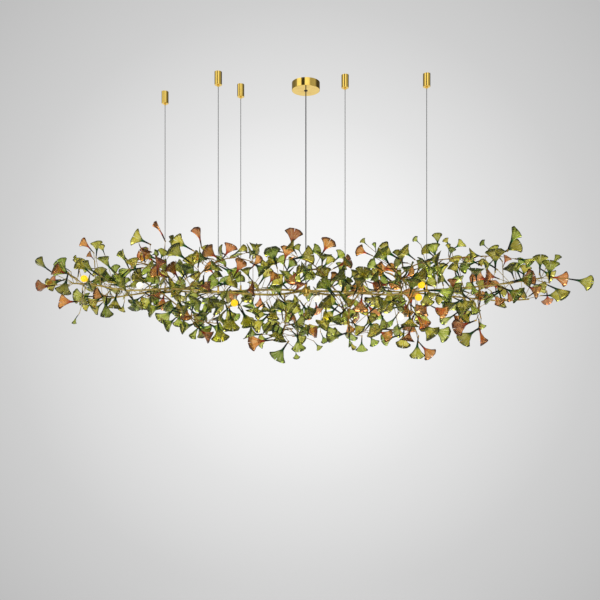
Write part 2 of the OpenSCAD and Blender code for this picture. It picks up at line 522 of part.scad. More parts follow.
module wire_lugs() {
    ring_r = arm_d / 2 + fit;
    color("gold") for (k = [0 : len(CUPS) - 1]) {
        p = lug_point(k);
        a = lug_axis(k);
        difference() {
            union() {
                rod(p - a * lug_ring_w / 2, p + a * lug_ring_w / 2, ring_r + lug_wall, 48);
                translate(p) cylinder(h = ring_r + lug_stud_h, d = lug_stud_d);
            }
            rod(p - a * lug_ring_w, p + a * lug_ring_w, ring_r, 48);
            translate(p + [0, 0, ring_r + lug_stud_h - lug_bore_h])
                cylinder(h = lug_bore_h + 1, r = wire_d / 2 + 0.05);
        }
    }
}
module hub() {
    color("gold") translate(centre) difference() {
        union() {
            rotate_extrude() polygon([
                [0, -hub_low], [hub_d / 4, -hub_low], [hub_d / 2, -hub_low / 2], [hub_d / 2, hub_high / 2],
                [gland_d / 2 + 1, hub_high], [gland_d / 2, hub_high], [gland_d / 2, hub_high + gland_h],
                [0, hub_high + gland_h]
            ]);
            for (k = [0 : len(ARMS) - 1])
                rod(boss_way(k) * (hub_d / 2 - boss_in), boss_way(k) * hub_reach, boss_r, 48);
        }
        translate([0, 0, hub_high + gland_h - cord_in]) cylinder(h = cord_in + 1, d = cord_d + 2 * fit);
    }
}

// Along a lamp's axis, from where its stub leaves the stem
socket_at = lamp_stub + seat;
socket_end = socket_at + socket_l;
module on_lamp(k) {
    p = lamp_point(k, stems());
    w = lamp_way(k);
    translate(p) rotate([0, acos(w.z), atan2(w.y, w.x)]) children();
}
module lamp_sockets() {
    color("silver") for (k = [0 : len(LAMPS) - 1]) on_lamp(k) difference() {
        translate([0, 0, socket_at]) cylinder(h = socket_l, d = socket_d);
        translate([0, 0, socket_end - plug_l - 1]) cylinder(h = plug_l + 2, d = plug_d + 2 * fit);
    }
}
module bulb(k) {
    face = socket_end + seat;
    color("ivory") on_lamp(k) {
        translate([0, 0, socket_end - plug_l]) cylinder(h = plug_l + 1, d = plug_d);
        translate([0, 0, face]) cylinder(h = neck_l + 4, r = neck_r);
        translate([0, 0, face + neck_l + globe_d / 2]) sphere(d = globe_d);
    }
}

ceiling_plate();
terminal_block();
cord_clamp();
power_cord();
canopy_cover();
cord_grommet();
ceiling_base(0);  // ceiling_base_1
ceiling_base(1);  // ceiling_base_2
ceiling_base(2);  // ceiling_base_3
ceiling_base(3);  // ceiling_base_4
ceiling_base(4);  // ceiling_base_5
gripper_cup(0);  // gripper_cup_1
gripper_cup(1);  // gripper_cup_2
gripper_cup(2);  // gripper_cup_3
gripper_cup(3);  // gripper_cup_4
gripper_cup(4);  // gripper_cup_5
release(0);  // release_1
release(1);  // release_2
release(2);  // release_3
release(3);  // release_4
release(4);  // release_5
wire(0);  // wire_1
wire(1);  // wire_2
wire(2);  // wire_3
wire(3);  // wire_4
wire(4);  // wire_5
hub();
wire_lugs();
lamp_sockets();
arm(0);  // arm_right
arm(1);  // arm_front
arm(2);  // arm_back
arm(3);  // arm_rear
branch(0);  // branch_1
branch(1);  // branch_2
branch(2);  // branch_3
branch(3);  // branch_4
branch(4);  // branch_5
branch(5);  // branch_6
branch(6);  // branch_7
branch(7);  // branch_8
branch(8);  // branch_9
green(0, 0);  // leaves_right
green(1, 1);  // leaves_front
green(2, 2);  // leaves_back
green(3, 3);  // leaves_rear
green(4, 7);  // leaves_upper
green(8, 12);  // leaves_lower
amber(-2000, -250);  // amber_left
amber(-250, 250);  // amber_middle
amber(250, 2000);  // amber_right
bulb(0);  // bulb_1
bulb(1);  // bulb_2
bulb(2);  // bulb_3
bulb(3);  // bulb_4
bulb(4);  // bulb_5
bulb(5);  // bulb_6
bulb(6);  // bulb_7
bulb(7);  // bulb_8
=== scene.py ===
# %% [markdown]
# # A drift of glass ginkgo leaves
# A long ceiling light: hundreds of cast glass leaves stand on brass twigs, and thin steel wires carry
# the whole drift from five small cups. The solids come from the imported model. This lesson dresses them:
# it keeps the brass work as it is, grows finer glass in the place of each leaf, twists the wires into
# ropes, makes the lamps glow and lights the room softly.

# %% Load the solids
import functools
import json
import math

import bpy
import numpy as np
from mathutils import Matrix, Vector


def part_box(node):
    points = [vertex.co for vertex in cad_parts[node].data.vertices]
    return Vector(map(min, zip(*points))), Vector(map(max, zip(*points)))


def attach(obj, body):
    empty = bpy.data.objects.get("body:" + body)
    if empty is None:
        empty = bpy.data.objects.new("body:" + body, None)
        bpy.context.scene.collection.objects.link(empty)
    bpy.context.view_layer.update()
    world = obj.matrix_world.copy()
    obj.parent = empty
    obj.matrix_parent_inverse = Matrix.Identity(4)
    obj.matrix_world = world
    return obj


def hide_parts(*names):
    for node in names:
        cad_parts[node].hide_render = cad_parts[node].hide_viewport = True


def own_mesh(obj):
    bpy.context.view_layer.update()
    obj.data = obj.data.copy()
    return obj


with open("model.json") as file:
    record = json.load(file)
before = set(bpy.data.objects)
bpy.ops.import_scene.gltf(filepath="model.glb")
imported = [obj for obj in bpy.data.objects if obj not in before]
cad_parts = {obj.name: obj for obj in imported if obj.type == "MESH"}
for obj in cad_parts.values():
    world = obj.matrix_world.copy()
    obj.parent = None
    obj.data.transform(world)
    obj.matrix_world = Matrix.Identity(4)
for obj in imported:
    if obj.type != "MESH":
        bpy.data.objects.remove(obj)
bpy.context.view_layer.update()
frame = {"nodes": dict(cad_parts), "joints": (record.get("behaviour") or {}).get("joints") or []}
nodes = frame["nodes"]

# %% [markdown]
# The camera looks level, straight along +Y, from 1.9 m in front of the canopy and at the height of the
# leaves, with a 59 degree field of view. A level camera keeps the wires upright in the picture, as in
# the photograph.

# %% Camera
camera_data = bpy.data.cameras.new("camera")
camera_data.sensor_width = 36
camera_data.lens = 31.56
camera = bpy.data.objects.new("camera", camera_data)
camera.location = (-0.021, -1.885, -0.778)
camera.rotation_euler = (math.radians(90), 0, 0)
bpy.context.scene.collection.objects.link(camera)
bpy.context.scene.camera = camera
bpy.context.scene.view_settings.view_transform = "Standard"


# %% [markdown]
# Most of what is built here is a grid of points that closes on itself. One helper turns such a grid,
# or any points and faces, into a smooth piece that rides on its body.

# %% Mesh helpers
def node_points(node):
    """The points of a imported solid's mesh, (n, 3) in metres."""
    mesh = nodes[node].data
    points = np.zeros(len(mesh.vertices) * 3, np.float32)
    mesh.vertices.foreach_get("co", points)
    return points.reshape(-1, 3)


def make_piece(name, points, faces, body, materials, uv=None, face_material=None):
    """A smooth mesh of points (n, 3) in metres and faces, which are lists of point indices.

    uv (n, 2) has one pair for each point, and face_material one index into materials for each face.
    """
    mesh = bpy.data.meshes.new(name)
    mesh.from_pydata(np.asarray(points).tolist(), [], [list(f) for f in faces])
    mesh.shade_smooth()
    for m in materials:
        mesh.materials.append(m)
    if face_material is not None:
        mesh.polygons.foreach_set("material_index", np.asarray(face_material, np.int32))
    if uv is not None:
        corner = np.zeros(len(mesh.loops), np.int32)
        mesh.loops.foreach_get("vertex_index", corner)
        layer = mesh.uv_layers.new(name="UVMap")
        layer.data.foreach_set("uv", np.asarray(uv, np.float32)[corner].ravel())
    piece = bpy.data.objects.new(name, mesh)
    bpy.context.scene.collection.objects.link(piece)
    if body:
        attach(piece, body)
    return piece


def point_numbers(piece, name, values):
    """Store one number at each point of a piece, for its material to read."""
    numbers = piece.data.attributes.new(name, "FLOAT", "POINT")
    numbers.data.foreach_set("value", np.asarray(values, np.float32))


def ring_faces(rings, sides, caps=True):
    """Quads between rings of equal sides, with a cap at each end.

    The points come ring by ring, so that a point's index is ring * sides + side.
    """
    r, s = np.meshgrid(np.arange(rings - 1), np.arange(sides), indexing="ij")
    a = r * sides + s
    b = r * sides + (s + 1) % sides
    quads = np.stack([a, b, b + sides, a + sides], -1).reshape(-1, 4).tolist()
    if caps:
        last = (rings - 1) * sides
        quads += [list(range(sides))[::-1], [last + i for i in range(sides)]]
    return quads


def turned(profile, sides, centre):
    """A turned body: the profile's (radius, height) pairs carried round the upright axis at centre."""
    profile = np.asarray(profile, float)
    t = np.linspace(0, 2 * np.pi, sides, endpoint=False)
    x = profile[:, :1] * np.cos(t)
    y = profile[:, :1] * np.sin(t)
    z = np.repeat(profile[:, 1:], sides, 1)
    return np.stack([x, y, z], -1).reshape(-1, 3) + np.asarray(centre)


# %% [markdown]
# Each material starts from a principled shader, and shared effects are node groups. Brass that has been
# handled is never one colour: turning and drawing leave fine lines on it, and a thin tarnish gathers in
# soft patches. One group makes both, for the polished brass, the drawn stems and the steel alike.

# %% Node helpers and the drawn metal group
COLOUR, VECTOR, NUMBER = "NodeSocketColor", "NodeSocketVector", "NodeSocketFloat"
# Depth of drawn lines and of moulded grain, in metres.
FINE_RELIEF = 0.0002


def new_group(name, inputs):
    """A shader group that gives a surface's colour, roughness and height, with its two rows of sockets.

    inputs are (label, kind, value). The second result holds their sockets, and the third takes the
    three results.
    """
    tree = bpy.data.node_groups.new(name, "ShaderNodeTree")
    for label, kind, value in inputs:
        socket = tree.interface.new_socket(label, in_out="INPUT", socket_type=kind)
        socket.default_value = value
    for label, kind in (("Color", COLOUR), ("Roughness", NUMBER), ("Height", NUMBER)):
        tree.interface.new_socket(label, in_out="OUTPUT", socket_type=kind)
    return tree, tree.nodes.new("NodeGroupInput").outputs, tree.nodes.new("NodeGroupOutput").inputs


def fill(tree, socket, value):
    """Link the socket to another one, or set it to a plain value."""
    if isinstance(value, bpy.types.NodeSocket):
        tree.links.new(value, socket)
    else:
        socket.default_value = value


def add(tree, kind, settings=None, **values):
    """A node with its settings, its inputs named by their labels, or by i and their number."""
    node = tree.nodes.new(kind)
    for key, value in (settings or {}).items():
        setattr(node, key, value)
    for key, value in values.items():
        key = int(key[1:]) if key[0] == "i" and key[1:].isdigit() else key.replace("_", " ")
        fill(tree, node.inputs[key], value)
    return node


def math_node(tree, operation, *values, clamp=False):
    """The result socket of one arithmetic node."""
    node = add(tree, "ShaderNodeMath", {"operation": operation, "use_clamp": clamp})
    for i, value in enumerate(values):
        fill(tree, node.inputs[i], value)
    return node.outputs[0]


def mix_colour(tree, amount, a, b):
    """The result socket of a colour mix, a where amount is 0 and b where it is 1."""
    node = add(tree, "ShaderNodeMix", {"data_type": "RGBA"}, i0=amount, i6=a, i7=b)
    return node.outputs[2]


def noise(tree, place, scale, detail, **more):
    """The number socket of a noise texture."""
    node = add(tree, "ShaderNodeTexNoise", Vector=place, Scale=scale, Detail=detail, **more)
    return node.outputs["Fac"]


def object_place(tree):
    """The socket with the place on the piece, in metres."""
    return add(tree, "ShaderNodeTexCoord").outputs["Object"]


def ramp(tree, factor, stops):
    """The colour socket of a ramp with (place, colour) stops."""
    node = add(tree, "ShaderNodeValToRGB", Fac=factor)
    band = node.color_ramp
    while len(band.elements) > 1:
        band.elements.remove(band.elements[-1])
    band.elements[0].position, band.elements[0].color = stops[0]
    for place, colour in stops[1:]:
        band.elements.new(place).color = colour
    return node.outputs["Color"]


def rgb(r, g, b):
    """A linear colour from the 0 to 255 numbers seen in a picture."""
    c = np.array([r, g, b]) / 255
    return (*np.where(c < 0.04, c / 12.92, ((c + 0.055) / 1.055) ** 2.4), 1)


def grey(v):
    """A grey of linear brightness v."""
    return (v, v, v, 1)


def new_material(name, **plain):
    """A material with one principled shader, plain numbers and colours on its own sockets."""
    material = bpy.data.materials.new(name)
    material.use_nodes = True
    shader = next(n for n in material.node_tree.nodes if n.type == "BSDF_PRINCIPLED")
    for key, value in plain.items():
        shader.inputs[key.replace("_", " ")].default_value = value
    return material, material.node_tree, shader


def dress(tree, shader, group, values, bump, depth):
    """Give the shader the group's colour and roughness, and its height as a bump of this strength."""
    node = tree.nodes.new("ShaderNodeGroup")
    node.node_tree = group
    for key, value in values.items():
        node.inputs[key].default_value = value
    tree.links.new(node.outputs["Color"], shader.inputs["Base Color"])
    tree.links.new(node.outputs["Roughness"], shader.inputs["Roughness"])
    relief = add(tree, "ShaderNodeBump", Strength=bump, Distance=depth, Height=node.outputs["Height"])
    tree.links.new(relief.outputs["Normal"], shader.inputs["Normal"])


drawn_metal, given, made = new_group("drawn metal", [
    ("Metal", COLOUR, rgb(225, 190, 95)), ("Tarnish", COLOUR, rgb(150, 110, 40)),
    ("Line scale", VECTOR, (400, 400, 8)), ("Smooth", NUMBER, 0.12), ("Rough", NUMBER, 0.35),
    ("Tarnish amount", NUMBER, 0.4)])
calc = functools.partial(math_node, drawn_metal)
place = object_place(drawn_metal)
scaled = add(drawn_metal, "ShaderNodeVectorMath", {"operation": "MULTIPLY"},
             i0=place, i1=given["Line scale"]).outputs[0]
lines = noise(drawn_metal, scaled, 1.0, 3.0)
patches = noise(drawn_metal, place, 38.0, 4.0, Roughness=0.6)
# Tarnish starts where the patches' noise passes 0.39 and is full from 0.7.
patch_mask = calc("MULTIPLY_ADD", patches, 3.2, -1.25, clamp=True)
tarnish = calc("MULTIPLY", patch_mask, given["Tarnish amount"], clamp=True)
fill(drawn_metal, made["Color"], mix_colour(drawn_metal, tarnish, given["Metal"], given["Tarnish"]))
# Lines and patches together set how far the surface goes from smooth to rough.
wear = calc("MULTIPLY_ADD", lines, 0.6, calc("MULTIPLY", patch_mask, 0.4), clamp=True)
spread = calc("SUBTRACT", given["Rough"], given["Smooth"])
fill(drawn_metal, made["Roughness"], calc("MULTIPLY_ADD", wear, spread, given["Smooth"]))
fill(drawn_metal, made["Height"], lines)


def metal(name, bright, dull, line_scale, smooth, rough, tarnish, bump):
    """Metal with drawn lines and patches of tarnish."""
    material, tree, shader = new_material(name, Metallic=1.0)
    values = {"Metal": bright, "Tarnish": dull, "Line scale": line_scale,
              "Smooth": smooth, "Rough": rough, "Tarnish amount": tarnish}
    dress(tree, shader, drawn_metal, values, bump=bump, depth=FINE_RELIEF)
    return material


# Lines run round the piece where the third line scale is large, and are soft specks where all are equal.
polished_brass = metal("polished_brass", rgb(238, 204, 104), rgb(205, 160, 62), line_scale=(30, 30, 900),
                       smooth=0.07, rough=0.16, tarnish=0.35, bump=0.03)
stem_brass = metal("stem_brass", rgb(186, 148, 66), rgb(78, 56, 22), line_scale=(90, 90, 90),
                   smooth=0.2, rough=0.45, tarnish=0.95, bump=0.2)
arm_brass = metal("arm_brass", rgb(200, 176, 98), rgb(118, 100, 48), line_scale=(90, 90, 90),
                  smooth=0.25, rough=0.5, tarnish=0.8, bump=0.2)
wire_steel = metal("wire_steel", rgb(26, 26, 28), rgb(16, 16, 18), line_scale=(60, 60, 60),
                   smooth=0.45, rough=0.6, tarnish=0.6, bump=0.1)
steel = metal("zinc_steel", rgb(196, 199, 203), rgb(140, 142, 145), line_scale=(60, 60, 60),
              smooth=0.28, rough=0.5, tarnish=0.6, bump=0.1)
socket_metal = metal("socket_metal", rgb(205, 198, 178), rgb(120, 100, 60), line_scale=(40, 40, 500),
                     smooth=0.2, rough=0.4, tarnish=0.5, bump=0.05)

# %% [markdown]
# The plastics, the cord's sheath and the lamps' collars get a fine moulded grain from a second small
# group, so that even the parts hidden in the canopy read as what they are when it is slid down.

# %% Moulded plastics
grain, given, made = new_group("moulded grain", [
    ("Base", COLOUR, grey(0.8)), ("Shade", COLOUR, grey(0.6)), ("Grain scale", NUMBER, 900.0),
    ("Roughness", NUMBER, 0.45)])
place = object_place(grain)
fine = noise(grain, place, given["Grain scale"], 2.0)
wide = noise(grain, place, 60.0, 2.0)
fill(grain, made["Color"], mix_colour(grain, wide, given["Base"], given["Shade"]))
roughness = math_node(grain, "MULTIPLY_ADD", fine, 0.15, given["Roughness"], clamp=True)
fill(grain, made["Roughness"], roughness)
fill(grain, made["Height"], fine)


def moulded(name, base, shade, grain_scale, roughness):
    """A moulded plastic, rubber or ceramic."""
    material, tree, shader = new_material(name)
    values = {"Base": base, "Shade": shade, "Grain scale": grain_scale, "Roughness": roughness}
    dress(tree, shader, grain, values, bump=0.15, depth=FINE_RELIEF)
    return material


white_plastic = moulded("white_plastic", rgb(236, 234, 228), rgb(214, 211, 203),
                        grain_scale=700.0, roughness=0.4)
black_plastic = moulded("black_plastic", rgb(44, 44, 46), rgb(28, 28, 30),
                        grain_scale=900.0, roughness=0.45)
cord_sheath = moulded("cord_sheath", rgb(74, 74, 76), rgb(54, 54, 56),
                      grain_scale=1200.0, roughness=0.5)
ceramic = moulded("lamp_ceramic", rgb(226, 222, 210), rgb(200, 194, 178),
                  grain_scale=800.0, roughness=0.35)

# %% [markdown]
# Cast glass ginkgo leaves are coloured along their length: the stem is almost black green, the throat
# deep green, the fan a yellow olive with pale rays, and the rim a thin dark line of painted shade. The
# amber leaves go from a dark red stem through burnt orange to tan. One group makes that from the leaf's
# own UV map, with V running from the stem's foot to the rim and U across the fan, and shifts each leaf a
# little by the number that is stored on it.

# %% Leaf glass
leaf_group, given, made = new_group("leaf glass", [
    (label, COLOUR, grey(0.5)) for label in ("Stem", "Throat", "Fan", "Other fan", "Painted rim shade", "Ray")])
put = functools.partial(add, leaf_group)
calc = functools.partial(math_node, leaf_group)
blend = functools.partial(mix_colour, leaf_group)
uv = put("ShaderNodeUVMap", {"uv_map": "UVMap"}).outputs["UV"]
split = put("ShaderNodeSeparateXYZ", Vector=uv)
across, along = split.outputs["X"], split.outputs["Y"]
dice = put("ShaderNodeAttribute", {"attribute_name": "leaf_dice"}).outputs["Fac"]


def leaf_noise(across_scale, along_scale, leaf_shift, detail, **more):
    """Noise laid over the leaf's UV map, from another place in the noise for each leaf."""
    spot = put("ShaderNodeCombineXYZ", X=calc("MULTIPLY", across, across_scale),
               Y=calc("MULTIPLY", along, along_scale), Z=calc("MULTIPLY", dice, leaf_shift))
    return noise(leaf_group, spot.outputs[0], 1.0, detail, **more)


rays = leaf_noise(across_scale=17.0, along_scale=2.2, leaf_shift=91.0, detail=3.0, Roughness=0.6)
cloud = leaf_noise(across_scale=3.0, along_scale=5.0, leaf_shift=37.0, detail=2.0)

# The fan's two colours differ from leaf to leaf and from cloud to cloud, and the rays lie on both.
fan_mix = calc("ADD", calc("MULTIPLY", cloud, 0.5), calc("MULTIPLY_ADD", dice, 1.2, -0.45), clamp=True)
fan = blend(fan_mix, given["Fan"], given["Other fan"])
fan = blend(calc("MULTIPLY_ADD", rays, 3.6, -1.6, clamp=True), fan, given["Ray"])

# The throat's colour is full below about V 0.42 and gone above about 0.6, as the cloud has it.
throat_end = calc("MULTIPLY_ADD", cloud, 0.8, 2.95)
body = blend(calc("MULTIPLY_ADD", along, -5.6, throat_end, clamp=True), fan, given["Throat"])

# The stem's colour is full below V 0.23 and gone above 0.34.
body = blend(calc("MULTIPLY_ADD", along, -9.0, 3.1, clamp=True), body, given["Stem"])

# The painted shade of the dark outline starts at V 0.94 along the rim, and along each side about a
# twentieth of the width from it.
side = calc("ABSOLUTE", calc("MULTIPLY_ADD", across, 2.0, -1.0))
painted_side_shade = calc("MULTIPLY_ADD", side, 12.0, -10.6, clamp=True)
painted_rim_shade = calc("MULTIPLY_ADD", along, 40.0, -37.6, clamp=True)
painted_outline_shade = calc("MULTIPLY", calc("MAXIMUM", painted_side_shade, painted_rim_shade), 0.66)
body = blend(painted_outline_shade, body, given["Painted rim shade"])

# Most leaves are bright and a few are dark: the shade falls from 1.14 to 0.48 with the tone squared.
tone = calc("FRACT", calc("MULTIPLY", dice, 7.3))
shade = calc("MULTIPLY_ADD", calc("POWER", tone, 2.0), -0.66, 1.14)
toned = put("ShaderNodeVectorMath", {"operation": "SCALE"}, i0=body, Scale=shade)
fill(leaf_group, made["Color"], toned.outputs[0])
fill(leaf_group, made["Roughness"], calc("MULTIPLY_ADD", cloud, 0.16, 0.04))
fill(leaf_group, made["Height"], calc("MULTIPLY_ADD", rays, 0.8, cloud))


def leaf_glass(name, colours):
    """Coloured cast glass for the leaves, with a low index that keeps its reflections faint."""
    material, tree, shader = new_material(name, Transmission_Weight=0.9, IOR=1.28, Specular_IOR_Level=0.3)
    dress(tree, shader, leaf_group, colours, bump=0.5, depth=0.0012)
    return material


# The rim colours below are painted shade, for the dark outline that the glass's edges throw.
green_glass = leaf_glass("green_glass", {
    "Stem": rgb(1, 9, 4), "Throat": rgb(8, 74, 22), "Fan": rgb(198, 184, 54),
    "Other fan": rgb(136, 166, 42), "Painted rim shade": rgb(40, 72, 8), "Ray": rgb(236, 234, 160)})
amber_glass = leaf_glass("amber_glass", {
    "Stem": rgb(36, 6, 6), "Throat": rgb(170, 60, 24), "Fan": rgb(214, 142, 56),
    "Other fan": rgb(198, 120, 70), "Painted rim shade": rgb(108, 42, 12), "Ray": rgb(240, 204, 146)})

# %% [markdown]
# Where does each leaf stand? The solids know: every leaf is one island of its node's mesh, with a round
# flat foot. The foot gives the place, the way and the size. The fan's two far corners give which way
# it is turned and how tightly it is rolled. Reading them back this way means that the glass always
# stands exactly on its ferrule.

# %% Read the leaves from the solids
# A leaf of size 1, in metres: the foot's radius, the height of the cone's tip, and from there to the rim.
FOOT_R = 0.002295
APEX = 0.023
REACH = 0.060575
# The fan is a flat sector rolled into a cone, and this is half the sector's angle.
HALF_FAN = np.radians(39)
# The solids' rolls lie in this range, and the ratio is what leaf_frame measures for each.
ROLLS = np.radians(np.arange(20, 76))
ROLL_RATIO = np.cos(ROLLS) * np.tan(HALF_FAN / np.sin(ROLLS) / 2)
# A leaf of size 1 is all fan from this height up.
FAN_Z = 0.03
# Points that share a cell of 5 micrometres count as one, and nearer to a plane than 20 as on it.
CELLS_PER_METRE = 2e5
ON_PLANE = 2e-5
# A foot has at least 8 points, their distances from its middle vary by under 3 percent, and its radius
# is under 3 mm.
FOOT_POINTS, FOOT_SPREAD, FOOT_LIMIT = 8, 0.03, 0.003


def islands(node):
    """The points and triangles of each connected island of the node's mesh."""
    mesh = nodes[node].data
    mesh.calc_loop_triangles()
    co = node_points(node)
    tri = np.zeros(len(mesh.loop_triangles) * 3, np.int32)
    mesh.loop_triangles.foreach_get("vertices", tri)
    key = np.round(co * CELLS_PER_METRE).astype(np.int64)
    _, first, back = np.unique(key, axis=0, return_index=True, return_inverse=True)
    points = co[first].astype(float)
    tri = back.ravel()[tri].reshape(-1, 3)
    label = np.arange(len(points))
    while True:
        low = label[tri].min(1)
        new = label.copy()
        np.minimum.at(new, tri.ravel(), np.repeat(low, 3))
        new = new[new]
        if (new == label).all():
            break
        label = new
    for k in np.unique(label[tri[:, 0]]):
        mine = tri[label[tri[:, 0]] == k]
        used, local = np.unique(mine, return_inverse=True)
        yield points[used], local.reshape(-1, 3)


def leaf_frame(points, tri):
    """Foot, axes (n, w, d), size and roll of one leaf, or None where no foot is found.

    d runs from the foot along the middle of the fan, w across it, and n to the side that the fan's
    corners curl away from. The foot is the flat disc with the whole leaf on one side of it. The roll
    follows from how far the corners lean back, as a share of half the distance between them.
    """
    a, b, c = points[tri[:, 0]], points[tri[:, 1]], points[tri[:, 2]]
    normal = np.cross(b - a, c - a)
    area = np.linalg.norm(normal, axis=1)
    normal = normal / np.maximum(area, 1e-15)[:, None]
    for i in np.argsort(-area):
        height = (points - a[i]) @ normal[i]
        flat = np.abs(height) < ON_PLANE
        if height.max() > 2 * ON_PLANE or flat.sum() < FOOT_POINTS:
            continue
        ring = points[flat]
        foot = ring.mean(0)
        radius = np.linalg.norm(ring - foot, axis=1)
        if radius.std() < FOOT_SPREAD * radius.mean() and radius.mean() < FOOT_LIMIT:
            break
    else:
        return None
    d = -normal[i]
    size = radius.mean() / FOOT_R
    out = (points - foot) / size
    far = out[out @ d > FAN_Z]
    p = far[np.argmax(np.linalg.norm(far - far[0], axis=1))]
    q = far[np.argmax(np.linalg.norm(far - p, axis=1))]
    p = far[np.argmax(np.linalg.norm(far - q, axis=1))]
    w = p - q - d * ((p - q) @ d)
    half = np.linalg.norm(w) / 2
    w = w / (2 * half)
    n = np.cross(w, d)
    lean = -((p + q) / 2) @ n
    if lean < 0:
        w, n, lean = -w, -n, -lean
    roll = np.interp(-lean / half, -ROLL_RATIO, ROLLS)
    return np.concatenate([foot, n, w, d, [size, roll]])


GREEN_SETS = ["leaves_" + part for part in ("right", "front", "back", "rear", "upper", "lower")]
AMBER_SETS = ["amber_" + part for part in ("left", "middle", "right")]
leaves = {}
for name in GREEN_SETS + AMBER_SETS:
    found = [leaf_frame(*island) for island in islands(name)]
    leaves[name] = np.array([f for f in found if f is not None])
    print(name, "leaves:", len(found), "unread:", sum(f is None for f in found))

# %% [markdown]
# A leaf is one closed surface made of rings. The rings of the stem are circles. From the throat on, each
# ring is squeezed into a thin loop, the front of the glass one way and the back the other, laid on a
# cone whose tip is the throat. The throat is drawn in, so that the sides sweep out like a trumpet's. The
# rim has round corners and a slit at the middle, and the glass waves more the nearer it is to the rim.
# All leaves of a set are computed in one go.

# %% Grow the glass leaves
# Places of the loop's points across the fan, once along its front and once along its back. FACE says
# which of the two a point is on, and is 0 at the two sides.
FRONT_U = np.array([-1, -0.84, -0.46, -0.03, 0, 0.03, 0.46, 0.84, 1])
LOOP_U = np.concatenate([FRONT_U, FRONT_U[-2:0:-1]])
FACE = np.sign(np.concatenate([1 - FRONT_U ** 2, FRONT_U[-2:0:-1] ** 2 - 1]))
# The stem's rings by height and radius, and the fan's by distance from the cone's tip and thickness.
STEM_Z = np.array([0, 0.0225])
STEM_R = np.array([0.0024, 0.0033])
FAN_R = np.array([0.012, 0.036, REACH])
FAN_T = np.array([0.0042, 0.0025, 0.0017])
# Each ring spans this share of the fan's angle, about two thirds at the throat and all at the rim.
SPAN = 0.56 + 0.48 * FAN_R / REACH
# Parts of the reach that the rim gives up between its lobes, at its corners (CORNER, and up to
# CORNER_CHANCE more) and at its middle, where a leaf over SLIT_FROM_SIZE has a slit and others a notch.
LOBES = 0.025
CORNER, CORNER_CHANCE = 0.07, 0.08
SLIT, NOTCH, SLIT_FROM_SIZE = 0.26, 0.08, 0.8
# Metres: how far the rim waves and its sides curl in at most.
WAVE, CURL = 0.0013, 0.0012
# Metres: how far inside its cone the fan lies, and the reach from which it lies that far inside.
INSET, INSET_FROM = 0.001, 0.02
# The fan leans in at the throat and out at the rim: the angle, and the share of it that counts.
FLARE, FLARE_SHARE = np.radians(3.5), 0.35
sides = len(LOOP_U)
half_loop = sides // 2
rings = len(STEM_Z) + len(FAN_R)


def glass_leaves(data, dice):
    """Points (leaf, ring, loop, 3) of a set of leaves, in metres.

    Stem ring: a circle of radius STEM_R at height STEM_Z. Fan ring: on a cone of half angle roll, at
    the distance reach from its tip and at the angle u * SPAN * HALF_FAN / sin(roll) round it, moved
    along the cone's normal by half the glass thickness, the inset and the wave.
    """
    foot, n, w, d = data[:, 0:3], data[:, 3:6], data[:, 6:9], data[:, 9:12]
    size, roll = data[:, 12], data[:, 13]
    count = len(data)
    u = LOOP_U[None, :]

    theta = np.radians(np.where(FACE >= 0, LOOP_U * 90, 180 - LOOP_U * 90))
    stem = np.stack([STEM_R[:, None] * np.cos(theta), STEM_R[:, None] * np.sin(theta),
                     np.repeat(STEM_Z[:, None], sides, 1)], -1)
    stem = np.broadcast_to(stem, (count, *stem.shape))

    sin, cos = np.sin(roll)[:, None, None], np.cos(roll)[:, None, None]
    angle = LOOP_U[None, None, :] * SPAN[None, :, None] * HALF_FAN / sin
    lobes = LOBES * (1 - np.cos(2 * np.pi * (1.5 * u + dice[:, 1:2]))) / 2
    corner = (CORNER + CORNER_CHANCE * dice[:, 2:3]) * u ** 4
    slit = np.where(u == 0, np.where(size[:, None] > SLIT_FROM_SIZE, SLIT, NOTCH), 0)
    reach = FAN_R[None, :, None] * np.ones((count, 1, sides))
    reach[:, -1] *= 1 - lobes - corner - slit

    wave = WAVE * np.sin(2 * np.pi * (0.8 * u + dice[:, 1:2])) - CURL * dice[:, 2:3] * u ** 2
    inset = INSET * np.minimum(1, reach / INSET_FROM)
    thick = FACE[None, None, :] * FAN_T[None, :, None]
    lift = thick / 2 - inset + (reach / REACH) ** 2 * wave[:, None, :]
    flare = FLARE * (2 * reach / REACH - 1)
    slope_sin = sin * np.cos(flare) + cos * np.sin(flare) * FLARE_SHARE
    slope_cos = cos * np.cos(flare) - sin * np.sin(flare) * FLARE_SHARE
    out = reach * slope_sin + lift * cos
    up = reach * slope_cos - lift * sin
    fan = np.stack([out * np.cos(angle) * cos - up * sin, out * np.sin(angle),
                    APEX + out * np.cos(angle) * sin + up * cos], -1)

    local = np.concatenate([stem, fan], 1) * size[:, None, None, None]
    axes = np.stack([n, w, d], 1)
    return foot[:, None, None] + np.einsum("lrki,lij->lrkj", local, axes)


def leaf_faces():
    """Faces of one leaf: quads between its rings, its round foot, and the strip that closes the rim."""
    quads = ring_faces(rings, sides, caps=False)
    last = (rings - 1) * sides
    back = [0] + [sides - i for i in range(1, half_loop)] + [half_loop]
    rim = [[last + i, last + i + 1, last + back[i + 1], last + back[i]] for i in range(half_loop)]
    rim = [list(dict.fromkeys(f)) for f in rim]
    return quads + [list(range(sides))[::-1]] + rim


